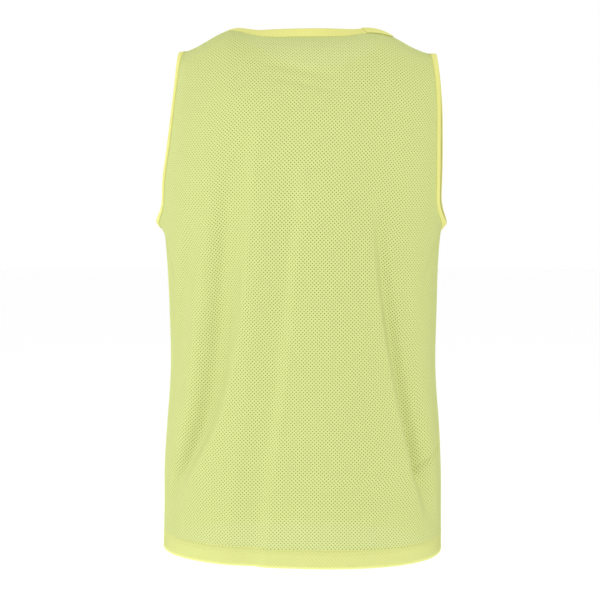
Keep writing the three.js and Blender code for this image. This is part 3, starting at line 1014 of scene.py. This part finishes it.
# How far out stitches lie, the hem's two rows, where a row starts, and how far ahead a stitch points
TAPE_STITCH_OUT, HEM_STITCH_OUT = 0.78, 0.12
HEM_ROWS, ROW_START, AHEAD = (17.5, 22.0), 0.004, 0.8
deselect()
bpy.ops.mesh.primitive_uv_sphere_add(segments=6, ring_count=4, radius=0.5)
stitch = bpy.context.object
bpy.ops.object.mode_set(mode="EDIT")
bpy.ops.transform.rotate(value=math.pi / 2, orient_axis="Y", center_override=(0, 0, 0))
bpy.ops.transform.resize(value=(STITCH_LONG, STITCH_WIDE, STITCH_HIGH))
bpy.ops.object.mode_set(mode="OBJECT")
stitch_points = points_of(stitch)
stitch_faces = [list(face.vertices) for face in stitch.data.polygons]
bpy.data.objects.remove(stitch)


def sew(name, lines):
    """A piece of stitches along lines: each is points, ways out, how far out, and whether it closes"""
    points, faces = [], []
    for line, out, height, closed in lines:
        if closed:
            line, out = (np.concatenate([part, part[:1]]) for part in (line, out))
        run = lengths(line)
        count = int(run[-1] / STITCH_PITCH)
        at = (np.arange(count) + 0.5) * run[-1] / count
        place, way, ahead = (
            np.stack([np.interp(at + step, run, part[:, c]) for c in range(3)], axis=1)
            for part, step in ((line, 0), (out, 0), (line, AHEAD))
        )
        along, way = unit(ahead - place), unit(way)
        aside = np.cross(way, along)
        axes = np.stack([along, aside, way], axis=1)
        copies = (place + way * height)[:, None] + np.einsum("pa,cax->cpx", stitch_points, axes)
        for k in range(count):
            start = (len(points) + k) * len(stitch_points)
            faces += [[start + v for v in face] for face in stitch_faces]
        points += list(copies)
    piece = new_piece(name, np.concatenate(points), faces)
    make_active(piece)
    bpy.ops.object.shade_smooth()
    print(name, len(points), "stitches")
    return piece


def hem_stitch_line(panel, up):
    share = np.linspace(ROW_START, 1 - ROW_START, HEM_STATIONS)
    return level_line(panel, share, np.full(share.shape, up))


tape_lines = {
    "left_armhole": armhole_ring(-1, ARMHOLE_TAPE - STITCH_INSET),
    "right_armhole": armhole_ring(1, ARMHOLE_TAPE - STITCH_INSET),
    "neck": neck_upright(NECK_TAPE - STITCH_INSET),
}
tape_stitches = [
    sew(f"{name}_stitches", [(*line, TAPE_STITCH_OUT, True)]) for name, line in tape_lines.items()
]
hem_stitches = [
    sew(f"{name}_hem_stitches", [(*hem_stitch_line(panel, up), HEM_STITCH_OUT, False) for up in HEM_ROWS])
    for name, panel in (("back", back), ("front", front))
]

# %% [markdown]
# ## Materials
#
# The cloth's finishes are procedural and read the flat place that each piece keeps as its UV map, so
# patterns follow the cloth; the thread's reads the object's own coordinates. Two small helpers keep the
# node work readable: `Look` adds a node of any type, and `Value` wraps a socket, so that sums on it
# become Math nodes.

# %% Shader helpers
SHEEN_TINT = (0.9, 0.95, 0.35, 1)


class Value:
    """A socket of a material, which arithmetic turns into Math nodes"""

    def __init__(self, look, socket):
        self.look, self.socket = look, socket

    def math(self, operation, *values):
        return self.look.node("Math", {"operation": operation}, dict(enumerate([self, *values])))

    def __add__(self, other):
        return self.math("ADD", other)

    def __mul__(self, other):
        return self.math("MULTIPLY", other)

    def __sub__(self, other):
        return self.math("SUBTRACT", other)

    def wave(self, pitch):
        """1 at every pitch and -1 halfway between"""
        return (self * (2 * math.pi / pitch)).math("COSINE")

    def between(self, low, high):
        """0 at low, 1 at high, smooth between"""
        limits = {0: self, 1: low, 2: high, 3: 0.0, 4: 1.0}
        return self.look.node("MapRange", {"interpolation_type": "SMOOTHSTEP"}, limits)


class Look:
    """A material in the making"""

    def __init__(self, name, slot):
        self.material = bpy.data.materials.new(name)
        self.slot = slot
        self.material.use_nodes = True
        self.tree = self.material.node_tree
        self.tree.nodes.clear()

    def node(self, kind, settings=None, inputs=None, output=0):
        made = self.tree.nodes.new("ShaderNode" + kind)
        for name, value in (settings or {}).items():
            setattr(made, name, value)
        for name, value in (inputs or {}).items():
            if isinstance(value, Value):
                self.tree.links.new(value.socket, made.inputs[name])
            else:
                made.inputs[name].default_value = value
        return Value(self, made.outputs[output]) if len(made.outputs) else None

    def mix(self, share, first, second):
        return self.node("Mix", {"data_type": "RGBA"}, {0: share, 6: first, 7: second}, output=2)

    def place(self):
        """The flat place, in metres, as a vector and as its two parts"""
        uv = self.node("UVMap", {"uv_map": "flat_cloth"})
        flat = self.node("VectorMath", {"operation": "SUBTRACT"}, {0: uv, 1: (UV_START, UV_START, 0)})
        return flat, *(self.node("SeparateXYZ", inputs={0: flat}, output=i) for i in (0, 1))

    def noise(self, place, scale, stretch=(1, 1, 1)):
        stretched = self.node("VectorMath", {"operation": "MULTIPLY"}, {0: place, 1: stretch})
        return self.node("TexNoise", inputs={"Vector": stretched, "Scale": scale, "Detail": 2.0})

    def finish(self, colour, height, rise, roughness=0.8, sheen=0.15):
        """The shader itself, with a bump of a height in metres"""
        normal = self.node("Bump", inputs={"Height": height, "Distance": rise, "Strength": 1.0})
        shader = self.node("BsdfPrincipled", inputs={
            "Base Color": colour, "Roughness": roughness, "Normal": normal,
            "Sheen Weight": sheen, "Sheen Roughness": 0.4, "Sheen Tint": SHEEN_TINT,
            "Specular IOR Level": 0.15,
        })
        self.node("OutputMaterial", inputs={"Surface": shader})
        return self


# %% [markdown]
# The mesh is fluorescent polyester: a colour so strong that it looks almost lit. Its yarns run in columns
# of loops, about a millimetre apart, which pull in round each hole, and there the knit is also darker, as
# painted shade.

# %% The mesh knit
KNIT_GREEN, KNIT_DEEP = (0.57, 0.62, 0.25, 1), (0.465, 0.515, 0.17, 1)
# The panel's cloth over the hem, the hem's own layer, and the tapes. The first two are the same knit made
# lighter, painted light that brightens the hem band.
FOLDED_LIGHTENED_GREEN, FOLDED_LIGHTENED_DEEP = (0.59, 0.625, 0.235, 1), (0.515, 0.55, 0.18, 1)
HEM_LIGHTENED_GREEN, HEM_LIGHTENED_DEEP = (0.69, 0.71, 0.25, 1), (0.61, 0.63, 0.19, 1)
TAPE_GREEN, TAPE_DEEP = (0.64, 0.63, 0.21, 1), (0.565, 0.56, 0.155, 1)
LOOP_WIDE, LOOP_TALL = 0.0012, 0.00125


def knit_look(name, slot, main, deep, rim_shade_and_dip):
    look = Look(name, slot)
    flat, across, up = look.place()
    loops = across.wave(LOOP_WIDE) * up.wave(LOOP_TALL)
    yarn = look.noise(flat, 900, stretch=(1, 0.5, 1))
    patches = look.noise(flat, 9)
    lattice = across.wave(HOLE_ACROSS * MM) * up.wave(HOLE_UP * MM)
    # Round each hole the bump dips and the colour darkens towards the deep tone: the darkening is painted
    # shade
    rim = lattice.between(0.1, 0.75) * rim_shade_and_dip
    tone = yarn.between(0.3, 0.7) * 0.25 + patches.between(0.35, 0.65) * 0.3 + rim * 0.6 + loops * -0.06
    tone = tone * 0.8
    return look.finish(look.mix(tone, main, deep), loops * 0.4 + yarn - rim, rise=0.00008)


# The mesh has the most painted shade round its holes, the cloth over the hem a little, the hem's layer
# and the tapes none
mesh_look = knit_look("mesh_knit", "mesh_cloth", KNIT_GREEN, KNIT_DEEP, rim_shade_and_dip=0.6)
folded_look = knit_look("folded_hem_knit", "hem_cloth", FOLDED_LIGHTENED_GREEN, FOLDED_LIGHTENED_DEEP, rim_shade_and_dip=0.1)
hem_look = knit_look("hem_knit", "hem_cloth", HEM_LIGHTENED_GREEN, HEM_LIGHTENED_DEEP, rim_shade_and_dip=0.0)
tape_look = knit_look("binding_tape", "binding", TAPE_GREEN, TAPE_DEEP, rim_shade_and_dip=0.0)

# %% [markdown]
# The holes are darkened with painted shade. One small dark face across each hole, at the back of the
# knit, stands for the shaded inside of the bib. It makes the holes look dark from either side, and it is
# half see-through, so that what lies behind still shows a little.

# %% The painted shade in the holes
# Two tones of the painted shade in the holes, and how opaque and how rough it is
SHADE_DEEP, SHADE_LIGHT = (0.2, 0.265, 0.025, 1), (0.25, 0.315, 0.035, 1)
SHADE_COVER, SHADE_ROUGHNESS = 0.82, 0.95


def shade_look():
    look = Look("hole_shade", "mesh_cloth")
    flat, _, _ = look.place()
    tone = look.mix(look.noise(flat, 700).between(0.35, 0.65), SHADE_DEEP, SHADE_LIGHT)
    shader = look.node("BsdfPrincipled", inputs={
        "Base Color": tone, "Roughness": SHADE_ROUGHNESS, "Alpha": SHADE_COVER,
    })
    look.node("OutputMaterial", inputs={"Surface": shader})
    return look


hole_look = shade_look()

# %% [markdown]
# Sewing thread is smoother than knit and a shade lighter, with a twist that catches the light.

# %% The thread
THREAD_LIGHT, THREAD_DEEP = (0.68, 0.68, 0.27, 1), (0.58, 0.59, 0.2, 1)


def thread_look():
    look = Look("sewing_thread", "binding")
    place = look.node("TexCoord", output=3)
    twist = look.noise(place, 1400)
    tone = look.mix(twist.between(0.35, 0.65), THREAD_LIGHT, THREAD_DEEP)
    return look.finish(tone, twist, rise=0.0001, roughness=0.55, sheen=0.1)


thread = thread_look()

# %% Give each piece its finish, its body and the solid that it stands for
PIECES = [
    (back_face, mesh_look, ["back_panel"]),
    (front_face, mesh_look, ["front_panel"]),
    (back_reverse, mesh_look, []),
    (front_reverse, mesh_look, []),
    (back_shade, hole_look, []),
    (front_shade, hole_look, []),
    (back_hem, hem_look, ["back_hem"]),
    (front_hem, hem_look, ["front_hem"]),
    (left_tape, tape_look, ["left_armhole_binding"]),
    (right_tape, tape_look, ["right_armhole_binding"]),
    (neck_tape, tape_look, ["neck_binding"]),
    (neck_lap, tape_look, []),
    *((seam, tape_look, []) for seam in seams),
    *((stitches, thread, []) for stitches in tape_stitches + hem_stitches),
]
for piece, look, nodes in PIECES:
    piece.data.materials.clear()
    piece.data.materials.append(look.material)
    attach(piece, "root")
    if nodes:
        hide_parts(*nodes)

for piece in (back_face, front_face):
    piece.data.materials.append(folded_look.material)
    in_hem = centres_of(piece)[:, 2] < (HEM_WIDTH - REST_HEIGHT) * MM
    piece.data.polygons.foreach_set("material_index", in_hem.astype(int))


def cut_area(panel):
    """Square metres of the flat cut, hem to shoulder, less the armholes and the neck"""
    t = np.arange(0.5, panel.length)
    width = edge_arc(panel, 1, t) - edge_arc(panel, -1, t)
    neck = np.clip(1 - ((panel.length - t) / panel.neck_dip) ** 2, 0, 1) ** 0.5 * 2 * NECK_HALF_WIDTH
    return (width - neck).sum() * MM * MM


for panel, piece, parts in (
    (back, back_face, [back_reverse, back_shade, back_hem]),
    (front, front_face, [front_reverse, front_shade, front_hem]),
):
    size = (2 * panel.half_cut * MM, panel.length * MM)
    area = cut_area(panel)
    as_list(parts)
    print(piece.name, "cut", [round(v, 3) for v in size], "area", round(area, 3))

# %% [markdown]
# ## Studio
#
# The photograph is a plain catalogue shot. Soft light comes from all round, a stronger light from the
# left draws the folds, a broad one from the right in front softens them, and a weak one from above
# lifts the shoulders. The long lens is a little above the middle of the bib.

# %% Floor, light and camera
FLOOR_DROP, FLOOR_RADIUS = 0.28, 9
FLOOR_COLOUR, FLOOR_ROUGHNESS = (0.985, 0.985, 0.985, 1), 0.9
SKY_COLOUR, SKY_STRENGTH = (1, 1, 1, 1), 1.0
# Name, place, what it faces, size and watts
LIGHTS = [
    ("key", (-2.45, -0.85, -0.5), (0, 0, -0.38), 0.8, 25),
    ("fill", (1.7, -2.0, -0.55), (0, 0, -0.38), 1.6, 23),
    ("top", (0, -0.9, 1.7), (0, 0, -0.1), 1.2, 6),
]
# The camera: how far away, how far round, how high, how far it looks down, and a last small turn
VIEW_DISTANCE, VIEW_TURN, VIEW_HEIGHT = 2.1, math.radians(6.5), -0.15
VIEW_PITCH, VIEW_PAN = math.radians(5.4), 0.00257
LENS, SENSOR = 93.42, 36

floor_height = cad_box[0][2] - FLOOR_DROP
bpy.ops.mesh.primitive_circle_add(
    vertices=96, radius=FLOOR_RADIUS, fill_type="NGON", location=(0, 0, floor_height))
floor = bpy.context.object
floor.name = floor.data.name = "floor"
bpy.ops.object.transform_apply(location=True, rotation=True, scale=True)
floor_look = bpy.data.materials.new("floor_pale")
floor_look.use_nodes = True
floor_shader = floor_look.node_tree.nodes["Principled BSDF"]
floor_shader.inputs["Base Color"].default_value = FLOOR_COLOUR
floor_shader.inputs["Roughness"].default_value = FLOOR_ROUGHNESS
floor.data.materials.append(floor_look)
floor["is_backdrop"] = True

world = bpy.context.scene.world or bpy.data.worlds.new("studio")
bpy.context.scene.world = world
world.use_nodes = True
sky = world.node_tree.nodes["Background"]
sky.inputs["Color"].default_value = SKY_COLOUR
sky.inputs["Strength"].default_value = SKY_STRENGTH

for name, place, target, size, watts in LIGHTS:
    bpy.ops.object.light_add(type="AREA", location=place)
    light = bpy.context.object
    light.name = light.data.name = name
    light.data.shape = "DISK"
    light.data.size, light.data.energy = size, watts
    light.rotation_euler = (Vector(target) - Vector(place)).to_track_quat("-Z", "Y").to_euler()

eye = (VIEW_DISTANCE * math.sin(VIEW_TURN), -VIEW_DISTANCE * math.cos(VIEW_TURN), VIEW_HEIGHT)
bpy.ops.object.camera_add(location=eye, rotation=(math.pi / 2 - VIEW_PITCH, 0, VIEW_TURN + VIEW_PAN))
camera = bpy.context.object
camera.data.lens, camera.data.sensor_width = LENS, SENSOR
bpy.context.scene.camera = camera
bpy.context.scene.view_settings.view_transform = "Standard"
print("floor at", round(floor_height, 3), " camera at", [round(v, 3) for v in eye])

# %% Both boxes, printed
lows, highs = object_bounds()
sizes = {"cad": [list(corner) for corner in cad_box], "visual": [list(lows), list(highs)]}
print("CAD box", sizes["cad"])
print("visual box", sizes["visual"])
